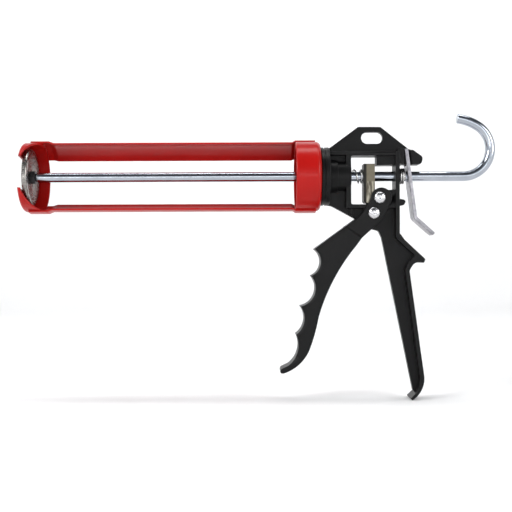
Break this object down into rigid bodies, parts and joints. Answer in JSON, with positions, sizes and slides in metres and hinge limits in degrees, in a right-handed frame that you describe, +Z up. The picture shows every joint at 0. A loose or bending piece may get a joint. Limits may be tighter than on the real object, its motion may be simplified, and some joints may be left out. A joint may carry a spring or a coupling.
{
  "type": "caulking gun",
  "caption": "Caulking gun with a revolving half-open cradle for a sealant cartridge, a hooked push rod with a piston, a scalloped trigger, a rear handle and a thumb release.",
  "frame": {"origin": "on the push rod's axis, at the outer face of the front cup, the centre of the nozzle slot", "axes": "+X back along the push rod towards the hook, +Z up, the cradle's open side faces -Y at rest"},
  "size_m": [0.381, 0.056, 0.2303],
  "materials": {
    "red_enamel": "gloss enamel",
    "black_casting": "satin black powder coat",
    "bright_zinc": "bright zinc plate",
    "rivet_steel": "polished domed heads",
    "plated_sheet": "zinc plated sheet",
    "driver_steel": "olive passivated, rubbed bright",
    "spring_steel": "drawn wire",
    "dark_steel": "black oxide",
    "bush_brass": "sintered bronze"
  },
  "bodies": {
    "casting": {"body_casting": "black_casting", "front_rod_bush": "bush_brass", "swivel_nut": "dark_steel", "swivel_washer": "plated_sheet", "pivot_bush": "bush_brass", "return_spring": "spring_steel", "release_spring": "spring_steel"},
    "cradle": {"front_cup": "red_enamel", "rear_cup": "red_enamel", "upper_strap": "red_enamel", "lower_strap": "red_enamel"},
    "piston": {"piston_plate": "bright_zinc", "piston_washer": "plated_sheet"},
    "rod": {"push_rod": "bright_zinc", "piston_lock_nut": "dark_steel"},
    "trigger": {"trigger": "black_casting", "trigger_pivot_rivet": "rivet_steel", "drive_pin_rivet": "rivet_steel"},
    "roller": {"drive_roller": "dark_steel"},
    "driver": {"driver_block": "driver_steel"},
    "release": {"release_plate": "plated_sheet"}
  },
  "joints": [
    {"name": "cradle_spin", "type": "hinge", "parent": "casting", "child": "cradle", "pos_m": [0.2383, 0, 0], "axis": [1, 0, 0], "continuous": true},
    {"name": "rod_slide", "type": "slide", "parent": "casting", "child": "piston", "axis": [1, 0, 0], "range_m": [0, 0.217]},
    {"name": "rod_spin", "type": "hinge", "parent": "piston", "child": "rod", "pos_m": [0.0045, 0, 0], "axis": [1, 0, 0], "continuous": true},
    {"name": "trigger_pull", "type": "hinge", "parent": "casting", "child": "trigger", "pos_m": [0.2813, 0, -0.03], "axis": [0, -1, 0], "range_deg": [0, 32], "stiffness_Nm_per_rad": 0.5, "springref_deg": -20.05},
    {"name": "driver_slide", "type": "slide", "parent": "casting", "child": "driver", "axis": [-1, 0, 0], "range_m": [0, 0.0073], "deforming": ["return_spring"]},
    {"name": "roller_spin", "type": "hinge", "parent": "trigger", "child": "roller", "pos_m": [0.2859, 0, -0.0177], "axis": [0, 1, 0], "continuous": true},
    {"name": "release_press", "type": "hinge", "parent": "casting", "child": "release", "pos_m": [0.3079, 0, 0.0205], "axis": [0, 1, 0], "range_deg": [0, 4.5], "stiffness_Nm_per_rad": 1, "springref_deg": -5.73, "deforming": ["release_spring"]}
  ],
  "couplings": [
    {"joint": "driver_slide", "follows": "trigger_pull", "m_per_rad": 0.01292}
  ]
}
